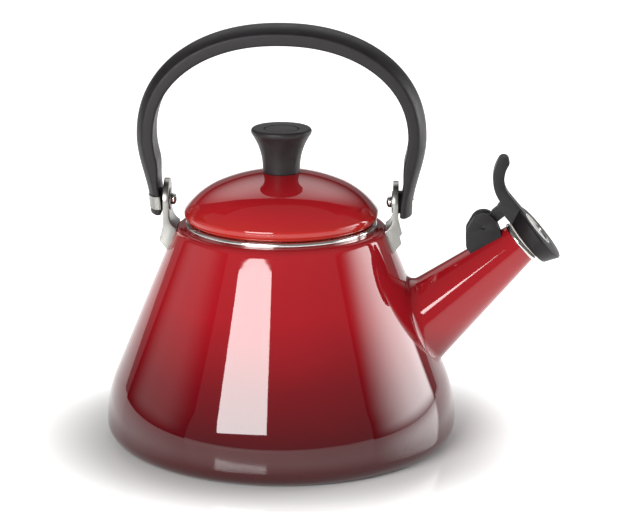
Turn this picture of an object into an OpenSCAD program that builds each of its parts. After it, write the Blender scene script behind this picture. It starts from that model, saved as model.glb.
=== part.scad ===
// Stovetop whistling kettle: conical enamelled body, bail handle, lift-off lid, flip-up whistle.
// Millimetres. Origin at the centre of the flat underside, +Z up, spout toward +X.
// The handle swings about an axis along X, the whistle about an axis along Y.

/* [Body] */
// Radius of the body at its widest, just above the base
body_r = 100; // [80:1:125]
// Height of the flat shoulder round the mouth
shoulder_h = 123.8; // [95:0.1:155]
// Radius of the rounded edge where the base turns up into the side
foot_r = 11; // [6:0.5:15]
// Radius of the swelling just above the base
belly_r = 73; // [50:1:90]
// Radius of the rounded edge between cone and shoulder
shoulder_r = 5; // [3:0.5:8]
// Width of the flat part of the shoulder outside the neck
shoulder_flat = 2.5; // [1.5:0.1:6]
// Wall of the enamelled steel body
wall = 1.6; // [1.2:0.1:2.4]
// Radius of the stiffening bead pressed into the base
bead_r = 62; // [40:1:70]
// Depth of the stiffening bead
bead_d = 0.6; // [0.3:0.1:0.9]

/* [Mouth] */
// Outside radius of the upright neck that the trim ring grips
neck_r = 53.4; // [42:0.2:66]
// Height of the neck above the shoulder
neck_h = 1.7; // [1.2:0.1:4]
// Thickness of the sheet in the trim ring
trim_t = 0.6; // [0.4:0.1:1]
// How far the trim ring reaches down inside the neck
trim_drop = 4.2; // [2:0.2:8]

/* [Spout] */
// Angle of the spout axis above the horizontal
spout_a = 40.5; // [30:0.5:50]
// Height at which the spout axis leaves the body
spout_z = 70; // [55:1:90]
// Length of the spout along its axis, from the body surface to the tip
spout_len = 71.5; // [50:1:90]
// Outside radius of the spout at its tip
spout_tip_r = 11.6; // [9:0.1:14]
// Half angle of the spout's taper
spout_taper = 8.8; // [4:0.1:10]
// Wall of the spout
spout_wall = 1.4; // [1:0.1:2]
// Radius of the rolled bead that trims the spout's tip
lip_bead_r = 1.1; // [0.8:0.05:1.4]

/* [Lid] */
// How far the lid's edge overhangs the crest of the trim ring
lid_over = 2.4; // [1.5:0.1:4]
// Radius of the rolled edge below the lid's widest line
lid_roll_r = 5.4; // [4.5:0.1:7]
// Radius of the edge above the lid's widest line
lid_edge_r = 3; // [2:0.1:5]
// Height of the lid's crown above its widest line
lid_rise = 23.4; // [16:0.2:32]
// Radius of the lid's upper dome
lid_dome_r = 92; // [70:1:140]
// Wall of the lid
lid_wall = 1.4; // [1:0.1:2]
// Depth of the collar that locates the lid in the mouth
collar_h = 10.5; // [6:0.5:16]
// Thickness of the collar
collar_t = 1.2; // [0.8:0.1:2]

/* [Knob] */
// Height of the knob above the crown of the lid
knob_h = 25; // [18:0.5:34]
// Radius of the knob at its neck
knob_neck_r = 10.5; // [8:0.1:14]
// Radius of the knob at its rim
knob_rim_r = 17.1; // [13:0.1:22]
// Radius of the hollow curve below the rim
knob_flare_r = 35; // [25:1:50]
// Radius of the knob's rounded rim
knob_edge_r = 1.9; // [1.2:0.1:2.6]
// Radius of the hole for the screw in the lid and in the knob
knob_bore_r = 2.6; // [2:0.1:3.5]

/* [Handle] */
// Height of the handle's crown above the pivots
handle_rise = 101; // [80:1:125]
// How far the arch bows out beyond its ends
handle_bow = 7.5; // [4:0.5:12]
// Height of the arch's widest line above the pivots
bow_z = 37.5; // [30:0.5:45]
// Width of the handle along Y
handle_w = 24; // [18:0.5:30]
// Thickness of the handle along its crown
handle_t_top = 11; // [8:0.2:14]
// Thickness of the handle along its sides
handle_t_side = 10.2; // [8:0.2:13]
// Thickness of the handle at its ends
handle_t_end = 6.8; // [5.5:0.1:8]
// Height of the crown across the handle's outer face
handle_crown = 4.2; // [2:0.2:5]
// How far the handle runs on past the pivots
handle_tail = 7.2; // [6:0.1:9]

/* [Pivots] */
// Height of the pivots above the shoulder
pivot_rise = 14.2; // [13:0.1:20]
// Radius of the shoulder of each pivot screw
pivot_r = 2.6; // [2:0.1:3.4]
// Radius of the thread of each pivot screw
thread_r = 1.7; // [1.3:0.05:2]
// Radius of the domed head of each pivot screw
head_r = 4.1; // [3.6:0.1:5]
// Running clearance between screw and handle, on the radius
pivot_fit = 0.06; // [0.03:0.01:0.1]
// Radius of the boss round each pivot on the handle's inner face
boss_r = 6.5; // [5:0.1:8]

/* [Lugs] */
// Distance from the centre of the shoulder curve out to the lug's web
lug_out = 7.2; // [6:0.1:10]
// Width of a lug along Y
lug_w = 24; // [20:0.5:30]
// Thickness of the pressed steel
lug_t = 1.2; // [0.8:0.1:1.6]
// Depth of a lug's flange from the face of the web
lug_depth = 3; // [2.4:0.1:3.4]
// Inner radius of the bend that turns the web in to the shoulder
lug_bend_r = 9; // [7:0.5:12]

/* [Whistle] */
// Distance of the hinge pin behind the spout's tip
pin_back = 10.5; // [8:0.5:14]
// Height of the hinge pin above the surface of the spout
pin_rise = 7.8; // [6.5:0.1:10]
// Radius of the hinge pin
pin_r = 1.2; // [0.9:0.05:1.6]
// Running clearance between hinge pin and whistle arm, on the radius
pin_fit = 0.06; // [0.03:0.01:0.1]
// Radius of the saddle's cheeks round the pin
cheek_r = 7.6; // [6.5:0.1:9]
// Thickness of each cheek
cheek_t = 3.6; // [2.5:0.1:5]
// Width of the slot between the cheeks
slot_w = 6.8; // [6:0.1:9]
// Thickness of the whistle cap along the spout axis
cap_t = 9.5; // [7:0.1:13]
// How far the cap's rear edge stands out beyond the spout's bead
cap_over = 2.5; // [1.5:0.1:4]
// How much the cap widens from its rear edge to its face
cap_flare = 3.1; // [1.5:0.1:4.5]
// Offset of the cap's outline below the spout axis
cap_drop = 2.2; // [0:0.1:3]
// Radius of the steel disc in the face of the cap
disc_r = 10.5; // [8:0.1:12]
// Inner radius of the curved thumb lever
lever_in_r = 15.2; // [12:0.1:19]
// Thickness of the thumb lever
lever_t = 6.4; // [4.5:0.1:8]
// Width of the thumb lever along Y
lever_w = 10; // [7:0.5:14]

/* [Hidden] */
FINE = 128;

// Colours
enamel = [0.66, 0.10, 0.13];
enamel_dark = [0.30, 0.04, 0.06];
steel = [0.80, 0.80, 0.79];
resin = [0.17, 0.16, 0.17];
silicone = [0.75, 0.74, 0.72];

// Body outline: the belly arc and the shoulder arc joined by the straight line that touches both
belly_cx = body_r - belly_r;
sh_cx = neck_r + shoulder_flat;
sh_cz = shoulder_h - shoulder_r;
span = norm([sh_cx - belly_cx, sh_cz - foot_r]);
cone_a = atan2(sh_cz - foot_r, sh_cx - belly_cx) - acos((belly_r - shoulder_r) / span);
function cone_at(z) = (belly_cx * cos(cone_a) + foot_r * sin(cone_a) + belly_r - z * sin(cone_a)) / cos(cone_a);

// Trim ring: a half-round crest over the neck
neck_mid = neck_r - wall / 2;
slot_gap = 0.2;
crest_r = wall / 2 + slot_gap + trim_t;
neck_top = shoulder_h + neck_h;
crest_cz = neck_top - 0.5;
crest_top = crest_cz + crest_r;

// Lid: seats just clear of the crest, its rolled edge hanging over the ring
lid_gap = 0.3;
lid_r = neck_mid + lid_over;
roll_cx = lid_r - lid_roll_r;
lid_z = crest_cz + sqrt(pow(lid_roll_r + crest_r + lid_gap, 2) - pow(neck_mid - roll_cx, 2));
lid_top = lid_z + lid_rise;
dome_cz = lid_top - lid_dome_r;
edge_cx = lid_r - lid_edge_r;
// The flank arc touches the edge arc where its slope is flank_a and the dome arc inside
flank_a = 37;
flank_p = [edge_cx + lid_edge_r * cos(flank_a), lid_z + lid_edge_r * sin(flank_a)];
flank_q = [-flank_p[0], dome_cz - flank_p[1]];
flank_n = [cos(flank_a), sin(flank_a)];
flank_r = (flank_q * flank_q - lid_dome_r * lid_dome_r) / (-2 * (flank_q * flank_n) - 2 * lid_dome_r);
flank_c = flank_p - flank_r * flank_n;
dome_a = atan2(flank_c[1] - dome_cz, flank_c[0]);
collar_r = roll_cx;

// Handle and pivots
pivot_z = shoulder_h + pivot_rise;
web_x = sh_cx + lug_out;
web_out = web_x + lug_t;
washer_t = 0.5;
washer_gap = 0.08;
boss_x = web_out + washer_t + washer_gap;
handle_in = web_x + lug_depth + 1.1;
handle_out = handle_in + handle_t_end;
arch_a = handle_out + handle_bow;
arch_b = handle_rise - bow_z;
arch_n = 2.15;
blend_z0 = 5;
leg_steps = 16;
arch_steps = 44;
seat_x = handle_out - 0.7;
lugwash_t = 0.7;
nut_h = 3.1;

// Spout frame: origin at the centre of the tip, local X along the axis, local Z up and back
tip_x = cone_at(spout_z) + spout_len * cos(spout_a);
tip_z = spout_z + spout_len * sin(spout_a);
function tube_r(a) = spout_tip_r - a * tan(spout_taper);
lip_r = spout_tip_r + lip_bead_r;
pin_a = -pin_back;
pin_u = tube_r(pin_a) + pin_rise;
saddle_w = slot_w + 2 * cheek_t;
floor_u = pin_u - 4.4;
stud_a = pin_a - 8.7;
hub_r = 3.6;
arm_half = slot_w / 2 - 0.3;
cap_a = 2.3;
cap_front = cap_a + cap_t;
cap_rear_r = lip_r + cap_over;
chamber_r = disc_r - 1.7;
seal_t = 0.9;
lever_ca = cap_a + 3.3 + lever_in_r + lever_t;
lever_cu = pin_u + 3.6;

module at_tip() {
  translate([tip_x, 0, tip_z]) rotate([0, -spout_a, 0]) children();
}

// Solid of revolution about the spout axis from a profile drawn as [along, radius]
module about_axis() {
  rotate([0, 90, 0]) rotate_extrude($fn = 96) mirror([1, -1, 0]) children();
}

// Cylinder along the local Y axis
module along_y(a, u, r, y0, y1) {
  translate([a, y1, u]) rotate([90, 0, 0]) cylinder(r = r, h = y1 - y0, $fn = 48);
}

// Cylinder along X from x0 to x1, at height z on the XZ plane
module along_x(x0, x1, r, z) {
  translate([x0, 0, z]) rotate([0, 90, 0]) cylinder(r = r, h = x1 - x0, $fn = 64);
}

// Point at an angle and a radius about a centre
function polar(cx, cz, r, a) = [cx + r * cos(a), cz + r * sin(a)];

// Part of a ring between two angles, as a flat outline
module arc_band(cx, cz, r0, r1, a0, a1) {
  d = (a1 - a0) / 3;
  inner = max(r0 - 0.5, 0);
  intersection() {
    translate([cx, cz]) difference() {
      circle(r = r1, $fn = 4 * FINE);
      circle(r = r0, $fn = 4 * FINE);
    }
    polygon([polar(cx, cz, inner, a0), polar(cx, cz, r1 + 0.5, a0), polar(cx, cz, 2 * r1, a0 + d),
             polar(cx, cz, 2 * r1, a0 + 2 * d), polar(cx, cz, r1 + 0.5, a1), polar(cx, cz, inner, a1)]);
  }
}

// Point on the body outline's cone line, at a depth d inside the outer face
function line_pt(cx, cz, r, d) = [cx + (r - d) * cos(cone_a), cz + (r - d) * sin(cone_a)];

// Filled outline of the body from the seam up to the shoulder, inset by d. The arcs overlap the straight
// line between them, which runs a hair (slip) inside the line that touches both.
slip = 0.001;
module body_outline(d) {
  intersection() {
    translate([belly_cx, foot_r]) circle(r = belly_r - d, $fn = 8 * FINE);
    translate([0, foot_r]) square([2 * body_r, sh_cz - foot_r]);
  }
  intersection() {
    translate([sh_cx, sh_cz]) circle(r = shoulder_r - d, $fn = FINE);
    square([2 * body_r, shoulder_h]);
  }
  polygon([[0, foot_r], [belly_cx, foot_r], line_pt(belly_cx, foot_r, belly_r, d + slip),
           line_pt(sh_cx, sh_cz, shoulder_r, d + slip), [sh_cx, sh_cz], [sh_cx, shoulder_h - d],
           [0, shoulder_h - d]]);
}
module body_filled() {
  rotate_extrude($fn = 2 * FINE) body_outline(0);
}

// Shallow pressed dish that makes the underside and the rounded lower edge
module base_pan() {
  color(enamel_dark) difference() {
    rotate_extrude($fn = 2 * FINE) {
      square([body_r - foot_r, wall]);
      arc_band(body_r - foot_r, foot_r, foot_r - wall, foot_r, -90, 0);
    }
    rotate_extrude($fn = FINE) translate([bead_r, 0]) circle(r = bead_d, $fn = 32);
  }
}

// Drawn cone with the belly, the rounded shoulder and the upright neck
module body_shell() {
  color(enamel) difference() {
    rotate_extrude($fn = 2 * FINE) {
      difference() {
        body_outline(0);
        body_outline(wall);
        square([neck_r - wall, 2 * shoulder_h]);
      }
      translate([neck_r - wall, shoulder_h - wall]) square([wall, wall + neck_h]);
    }
    at_tip() spout_bore();
  }
}

// Rolled steel ring that covers the raw edge of the neck
module mouth_trim_ring() {
  color(steel) rotate_extrude($fn = 2 * FINE) difference() {
    union() {
      translate([neck_mid, crest_cz]) circle(r = crest_r, $fn = 64);
      translate([neck_mid, crest_cz - 1.2]) square([crest_r, 1.2]);
      translate([neck_mid - crest_r, neck_top - trim_drop]) square([crest_r, crest_cz - neck_top + trim_drop]);
    }
    translate([neck_mid - wall / 2 - slot_gap, neck_top - trim_drop - 1])
      square([wall + 2 * slot_gap, trim_drop + 1]);
    translate([neck_mid, neck_top - trim_drop - 1]) square([crest_r + 1, trim_drop - 0.7]);
  }
}

// Inside of the spout, run on into the body to open the wall
module spout_bore() {
  back = spout_len + 22;
  about_axis() polygon([[-back, 0], [-back, tube_r(-back) - spout_wall],
                        [1, tube_r(1) - spout_wall], [1, 0]]);
}

// Tapering spout cut to the cone of the body
module spout_tube() {
  back = spout_len + 22;
  color(enamel) difference() {
    at_tip() about_axis() polygon([[-back, tube_r(-back) - spout_wall], [-back, tube_r(-back)],
                                   [0, tube_r(0)], [0, tube_r(0) - spout_wall]]);
    body_filled();
  }
}

// Rolled steel bead round the spout's tip
module spout_lip_bead() {
  inner = spout_tip_r - spout_wall;
  color(steel) at_tip() about_axis() difference() {
    union() {
      translate([-0.5, spout_tip_r]) circle(r = lip_bead_r, $fn = 48);
      translate([-0.5, inner - 0.4]) square([1.3, spout_tip_r - inner + 0.4]);
    }
    polygon([[-3, inner - 2], [-3, tube_r(-3)], [0, tube_r(0)], [0, inner - 2]]);
  }
}

// Flat outline of a lug seen along X: a half round head over a straight web, inset by d
module lug_face(d) {
  half = lug_w / 2 - d;
  translate([0, pivot_z]) circle(r = half, $fn = FINE);
  translate([-half, shoulder_h - 30]) square([2 * half, pivot_rise + 30]);
}

// Outline of a lug seen along Y
module lug_side() {
  bend_x = web_x - lug_bend_r;
  bend_z = shoulder_h + 7.2;
  out_x = web_x + lug_depth;
  difference() {
    polygon([[web_x, pivot_z + lug_w], [out_x, pivot_z + lug_w], [out_x, shoulder_h + 1.5],
             [out_x + 2.2, shoulder_h - 7.1], [out_x - 9.2, shoulder_h - 21.2],
             [bend_x, shoulder_h - 21.2], [bend_x, bend_z], [web_x, bend_z]]);
    translate([bend_x, bend_z]) circle(r = lug_bend_r, $fn = FINE);
    translate([bend_x - 40, bend_z - 40]) square([40 + lug_bend_r * sin(32), 80]);
  }
}

// Pressed steel lug on the +X side
module lug() {
  bend_x = web_x - lug_bend_r;
  bend_z = shoulder_h + 7.2;
  color(steel) difference() {
    union() {
      intersection() {
        rotate([90, 0, 90]) linear_extrude(height = 2 * web_x) difference() {
          lug_face(0);
          lug_face(lug_t);
        }
        translate([0, lug_w, 0]) rotate([90, 0, 0]) linear_extrude(height = 2 * lug_w) lug_side();
      }
      translate([web_x, 0, 0]) rotate([90, 0, 90]) linear_extrude(height = lug_t) intersection() {
        lug_face(0);
        translate([-lug_w, bend_z]) square([2 * lug_w, 60]);
      }
      translate([0, lug_w / 2, 0]) rotate([90, 0, 0]) linear_extrude(height = lug_w)
        arc_band(bend_x, bend_z, lug_bend_r, lug_bend_r + lug_t, -58, 0);
    }
    body_filled();
    along_x(web_x - 1, web_out + 1, thread_r + 0.05, pivot_z);
  }
}
module lug_right() { lug(); }
module lug_left() { mirror([1, 0, 0]) lug(); }

// Shouldered pivot screw with a low domed head
module pivot_screw() {
  dome = 1.9;
  rr = (head_r * head_r + dome * dome) / (2 * dome);
  color(steel) {
    along_x(web_out, seat_x, pivot_r, pivot_z);
    along_x(web_x - lugwash_t - nut_h + 1.1, web_out, thread_r, pivot_z);
    translate([seat_x, 0, pivot_z]) rotate([0, 90, 0]) rotate_extrude($fn = 64) intersection() {
      translate([0, dome - rr]) circle(r = rr, $fn = 256);
      square([head_r, dome]);
    }
  }
}
module pivot_screw_right() { pivot_screw(); }
module pivot_screw_left() { mirror([1, 0, 0]) pivot_screw(); }

// Ring along X
module ring_x(x0, x1, r0, r1) {
  difference() {
    along_x(x0, x1, r1, pivot_z);
    along_x(x0 - 1, x1 + 1, r0, pivot_z);
  }
}
module friction_washer_right() { color(steel) ring_x(web_out, web_out + washer_t, pivot_r + 0.1, boss_r - 0.6); }
module friction_washer_left() { mirror([1, 0, 0]) friction_washer_right(); }
module lug_washer_right() { color(steel) ring_x(web_x - lugwash_t, web_x, thread_r + 0.05, 6.2); }
module lug_washer_left() { mirror([1, 0, 0]) lug_washer_right(); }

// Domed nut on the inner end of the pivot screw
module dome_nut() {
  nr = 3.15;
  x1 = web_x - lugwash_t;
  color(steel) difference() {
    translate([x1, 0, pivot_z]) rotate([0, -90, 0]) rotate_extrude($fn = 48) {
      square([nr, nut_h - 1.6]);
      translate([0, nut_h - 1.6]) intersection() {
        square([nr, 1.6]);
        translate([0, 1.6 - (nr * nr + 2.56) / 3.2]) circle(r = (nr * nr + 2.56) / 3.2, $fn = 192);
      }
    }
    along_x(x1 - nut_h + 1.1, x1 + 1, thread_r, pivot_z);
  }
}
module dome_nut_right() { dome_nut(); }
module dome_nut_left() { mirror([1, 0, 0]) dome_nut(); }

// Outer line of the handle: a leg that bows out from the pivot, then a rounded arch
function smooth(t) = t * t * (3 - 2 * t);
function leg_x(t) = handle_out + handle_bow * (1 - cos(180 * t)) / 2;
function leg_z(t) = pivot_z - handle_tail + (bow_z + handle_tail) * t;
leg_t0 = (handle_tail - 5.2) / (bow_z + handle_tail);
function leg_pt(t) = [handle_out + handle_bow * (1 - cos(180 * max(0, (t - leg_t0) / (1 - leg_t0)))) / 2, leg_z(t)];
function arch_pt(t) = [arch_a * sign(cos(t)) * pow(abs(cos(t)), 2 / arch_n),
                       pivot_z + bow_z + arch_b * pow(abs(sin(t)), 2 / arch_n)];
right_leg = [for (i = [0:leg_steps - 1]) leg_pt(i / leg_steps)];
arch_line = [for (i = [0:arch_steps]) arch_pt(180 * i / arch_steps)];
left_leg = [for (i = [leg_steps - 1:-1:0]) [-leg_pt(i / leg_steps)[0], leg_pt(i / leg_steps)[1]]];
outer_line = concat(right_leg, arch_line, left_leg);
last_pt = len(outer_line) - 1;
// Direction of travel at each station, and the outward normal, which stays level at both ends
function along(i) = (i == 0 || i == last_pt) ? [0, i == 0 ? 1 : -1]
  : let (d = outer_line[i + 1] - outer_line[i - 1]) d / norm(d);
function outward(i) = [along(i)[1], -along(i)[0]];
// Thickness at height z over the pivots
function thick(z) = z < bow_z
  ? handle_t_end + (handle_t_side - handle_t_end) * smooth(min(1, max(0, (z - blend_z0) / (bow_z * 0.45))))
  : handle_t_side + (handle_t_top - handle_t_side) * smooth((z - bow_z) / arch_b);
// Section across the handle: flat inner face, straight edges, crowned outer face, as [y, depth]
crown_steps = 5;
function crown(y) = handle_crown * pow(abs(y) / (handle_w / 2), 2.3);
// The section can be grown by d all round, and by e on its inner face
function section(t, d, e) = let (h = handle_w / 2, k = (h + d) / h) concat(
  [[(h - 1.1) * k, t + e], [(h - 0.25) * k, t - 0.35 + e], [h * k, t - 1.1 + e]],
  [for (i = [-crown_steps:crown_steps]) let (y = -h * sin(90 * i / crown_steps)) [y * k, crown(y) - d]],
  [[-h * k, t - 1.1 + e], [(0.25 - h) * k, t - 0.35 + e], [(1.1 - h) * k, t + e]]);
function ring_pts(i, d, e) = let (p = outer_line[i], n = outward(i), t = thick(p[1] - pivot_z))
  [for (s = section(t, d, e)) [p[0] - n[0] * s[1], s[0], p[1] - n[1] * s[1]]];
sec_n = len(section(10, 0, 0));

// The handle's section carried along its line from one station to another
module sweep(i0, i1, d, e) {
  n = i1 - i0;
  pts = [for (i = [i0:i1]) each ring_pts(i, d, e)];
  sides = [for (i = [0:n - 1], k = [0:sec_n - 1])
    [i * sec_n + k, i * sec_n + (k + 1) % sec_n, (i + 1) * sec_n + (k + 1) % sec_n, (i + 1) * sec_n + k]];
  caps = [[for (k = [sec_n - 1:-1:0]) k], [for (k = [0:sec_n - 1]) n * sec_n + k]];
  polyhedron(points = pts, faces = concat(sides, caps));
}

// Bail handle moulded in one piece, with a boss and a bored pivot at each end
module handle_grip() {
  color(resin) difference() {
    union() {
      sweep(0, last_pt, 0, 0);
      along_x(boss_x, handle_in + 2, boss_r, pivot_z);
      mirror([1, 0, 0]) along_x(boss_x, handle_in + 2, boss_r, pivot_z);
    }
    for (s = [0, 1]) mirror([s, 0, 0]) {
      along_x(boss_x - 1, handle_out + 2, pivot_r + pivot_fit, pivot_z);
      along_x(seat_x - 0.1, handle_out + 2, head_r + 0.3, pivot_z);
    }
  }
}

// Steel clip hooked over the front edge of the left end of the handle
clip_half = 3.6;
clip_t = 0.45;
module handle_clip() {
  color(steel) mirror([1, 0, 0]) difference() {
    intersection() {
      sweep(0, 7, 0.05 + clip_t, 0.05 + clip_t * 0.8);
      translate([handle_in - 5, -handle_w, pivot_z - clip_half]) cube([40, handle_w, 2 * clip_half]);
    }
    sweep(0, 7, 0.05, 0.05);
    along_x(handle_in + 2, handle_out + 4, head_r + 0.5, pivot_z);
    translate([handle_in + 2, 2.5 - head_r, pivot_z - 5]) cube([20, 10, 10]);
    translate([handle_in - 5, 2.5 - handle_w / 2, pivot_z - 5]) cube([7.5, handle_w, 10]);
  }
}

// Pie from a centre between two angles
module pie(c, r, a0, a1) {
  polygon([c, polar(c[0], c[1], r, a0), polar(c[0], c[1], 2 * r, (a0 + a1) / 2), polar(c[0], c[1], r, a1)]);
}

// Filled outline of the lid, inset by d: dome, flank, edge and roll. Each arc overlaps the next by a hair.
module lid_outline(d) {
  intersection() {
    union() {
      intersection() {
        translate([0, dome_cz]) circle(r = lid_dome_r - d, $fn = 8 * FINE);
        pie([0, dome_cz], 3 * lid_dome_r, dome_a, 90);
      }
      intersection() {
        translate(flank_c) circle(r = flank_r - d + slip, $fn = 8 * FINE);
        pie(flank_c, 3 * flank_r, flank_a, dome_a + 3);
      }
    }
    translate([0, lid_z]) square([2 * lid_r, 2 * lid_rise]);
  }
  translate([edge_cx, lid_z]) circle(r = lid_edge_r - d + 2 * slip, $fn = 2 * FINE);
  intersection() {
    translate([roll_cx, lid_z]) circle(r = lid_roll_r - d, $fn = 2 * FINE);
    translate([roll_cx, lid_z - lid_roll_r]) square([lid_roll_r, lid_roll_r + 0.1]);
  }
}

// Lid shell: dome, flank, edge and inward roll of even thickness
module lid_shell() {
  color(enamel) rotate_extrude($fn = 2 * FINE) difference() {
    lid_outline(0);
    lid_outline(lid_wall);
    translate([0, lid_z - lid_roll_r - 1]) square([roll_cx, lid_roll_r + 1.05]);
    square([knob_bore_r, 2 * lid_top]);
  }
}

// Collar welded inside the rolled edge, which drops into the mouth
module lid_collar() {
  z0 = lid_z - lid_roll_r - collar_h + 1.5;
  color(steel) rotate_extrude($fn = 2 * FINE) {
    translate([collar_r - collar_t, z0]) square([collar_t, collar_h + 1.5]);
    translate([collar_r - collar_t - 1.6, z0]) square([1.7, 0.8]);
  }
}

// Flared knob with a dished top and a blind bore for its screw
module lid_knob() {
  top = lid_top + knob_h;
  rim_c = top - knob_edge_r;
  foot_z = lid_top + 1.8;
  color(resin) difference() {
    rotate_extrude($fn = FINE) difference() {
      union() {
        difference() {
          translate([0, lid_top - 4]) square([knob_rim_r + 4, rim_c - lid_top + 3.2]);
          translate([knob_neck_r + knob_flare_r, foot_z]) circle(r = knob_flare_r, $fn = 4 * FINE);
          translate([knob_neck_r, lid_top - 5]) square([knob_rim_r, foot_z - lid_top + 5]);
          translate([knob_rim_r - 0.3, lid_top - 5]) square([20, knob_h + 10]);
        }
        translate([0, rim_c - 1]) square([knob_rim_r - knob_edge_r, knob_edge_r + 1]);
        translate([knob_rim_r - knob_edge_r, rim_c]) circle(r = knob_edge_r, $fn = 64);
      }
      lid_outline(0);
      translate([0, top + 88.9]) circle(r = 90, $fn = 8 * FINE);
      translate([9.2, top - 1.6]) square([0.7, 2]);
    }
    translate([0, 0, lid_top - 3]) cylinder(r = knob_bore_r, h = 17, $fn = 64);
  }
}

// Screw that holds the knob from inside the lid
module knob_screw() {
  under = lid_top - lid_wall - 1.1;
  color(steel) difference() {
    union() {
      translate([0, 0, under]) cylinder(r = knob_bore_r - 0.1, h = 14, $fn = 48);
      translate([0, 0, under - 3]) cylinder(r = 4.6, h = 3, $fn = 64);
    }
    translate([0, 0, under - 3.1]) cylinder(r = 1.9, h = 2.1, $fn = 6);
  }
}

// Plain washer under the head of the knob's screw, dished to the dome
module knob_washer() {
  under = lid_top - lid_wall;
  color(steel) rotate_extrude($fn = 64) difference() {
    translate([knob_bore_r, under - 1.1]) square([5, 1.6]);
    difference() {
      translate([-1, under - 3]) square([20, 9]);
      lid_outline(lid_wall);
    }
  }
}

// Saddle on the spout: a floor and two rounded cheeks that carry the hinge pin
module whistle_saddle() {
  color(resin) at_tip() difference() {
    union() {
      for (s = [-1, 1]) translate([0, s > 0 ? saddle_w / 2 : -slot_w / 2, 0])
        rotate([90, 0, 0]) linear_extrude(height = cheek_t) cheek_outline();
      translate([pin_a - 14.5, -slot_w / 2 - 0.5, pin_u - 16])
        cube([19, slot_w + 1, floor_u - pin_u + 16]);
    }
    about_axis() polygon([[-60, 0], [-60, tube_r(-60)], [5, tube_r(5)], [5, 0]]);
    along_y(pin_a, pin_u, pin_r + 0.03, -saddle_w, saddle_w);
    translate([stud_a, 0, tube_r(stud_a) - 3]) cylinder(r = 1.6, h = 12, $fn = 48);
  }
}

// Cheek seen along Y: round over the pin, sloping back and down to the spout
module cheek_outline() {
  hull() {
    translate([pin_a, pin_u]) circle(r = cheek_r, $fn = 96);
    translate([pin_a - 5.5, pin_u - 0.4]) circle(r = 6, $fn = 64);
    translate([pin_a - 10.6, pin_u - 4.4]) circle(r = 4.6, $fn = 48);
    translate([pin_a + 4.2, pin_u - 8]) circle(r = 1.2, $fn = 24);
    translate([pin_a + 1.6, pin_u - 15]) circle(r = 1.2, $fn = 24);
    translate([pin_a - 14, pin_u - 13]) circle(r = 1.2, $fn = 24);
  }
}

// Stud welded on the spout, and the nut that holds the saddle down
module saddle_stud() {
  color(steel) at_tip() difference() {
    translate([stud_a, 0, tube_r(stud_a) - 3]) cylinder(r = 1.5, h = floor_u + 3.4 - tube_r(stud_a) + 3, $fn = 48);
    about_axis() polygon([[-60, 0], [-60, tube_r(-60)], [5, tube_r(5)], [5, 0]]);
  }
}
module saddle_nut() {
  color(steel) at_tip() translate([stud_a, 0, floor_u]) difference() {
    cylinder(r = 2.9, h = 2.4, $fn = 6);
    translate([0, 0, -1]) cylinder(r = 1.5, h = 5, $fn = 48);
  }
}

// Pin through both cheeks, ends sunk below their faces
module hinge_pin() {
  color(steel) at_tip() along_y(pin_a, pin_u, pin_r, -saddle_w / 2 + 1.4, saddle_w / 2 - 1.4);
}

// Torsion spring on the pin: three turns and a bit, one leg forward beside the arm, one on the saddle's floor
spring_r = pin_r + 1;
wire_r = 0.28;
spring_y = 0.74;
turn_steps = 18;
coil_n = 57;
coil_pitch = 0.6;
function coil_pt(i) = let (t = 360 * i / turn_steps)
  [pin_a + spring_r * sin(t - 60), spring_y + wire_r + coil_pitch * i / turn_steps, pin_u + spring_r * cos(t - 60)];
spring_line = concat(
  [[pin_a - spring_r - 1.5, spring_y + wire_r, pin_u - 3.9]],
  [for (i = [0:coil_n]) coil_pt(i)],
  [[pin_a + 7.9, coil_pt(coil_n)[1], pin_u + spring_r]]);

// Thin round wire swept along a line of points
function unit(v) = v / norm(v);
function tangent(p, i) = unit(p[min(i + 1, len(p) - 1)] - p[max(i - 1, 0)]);
function side_dir(t) = unit(cross(t, [0.3, 1, 0.2]));
function wire_ring(p, i, r, n) = let (t = tangent(p, i), a = side_dir(t), b = cross(t, a))
  [for (k = [0:n - 1]) p[i] + r * (cos(360 * k / n) * a + sin(360 * k / n) * b)];
module wire(p, r, n) {
  last = len(p) - 1;
  pts = [for (i = [0:last]) each wire_ring(p, i, r, n)];
  sides = [for (i = [0:last - 1], k = [0:n - 1])
    [i * n + (k + 1) % n, i * n + k, (i + 1) * n + k, (i + 1) * n + (k + 1) % n]];
  caps = [[for (k = [0:n - 1]) k], [for (k = [n - 1:-1:0]) last * n + k]];
  polyhedron(points = pts, faces = concat(sides, caps));
}
module whistle_spring() {
  color(steel) at_tip() wire(spring_line, wire_r, 8);
}

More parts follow.
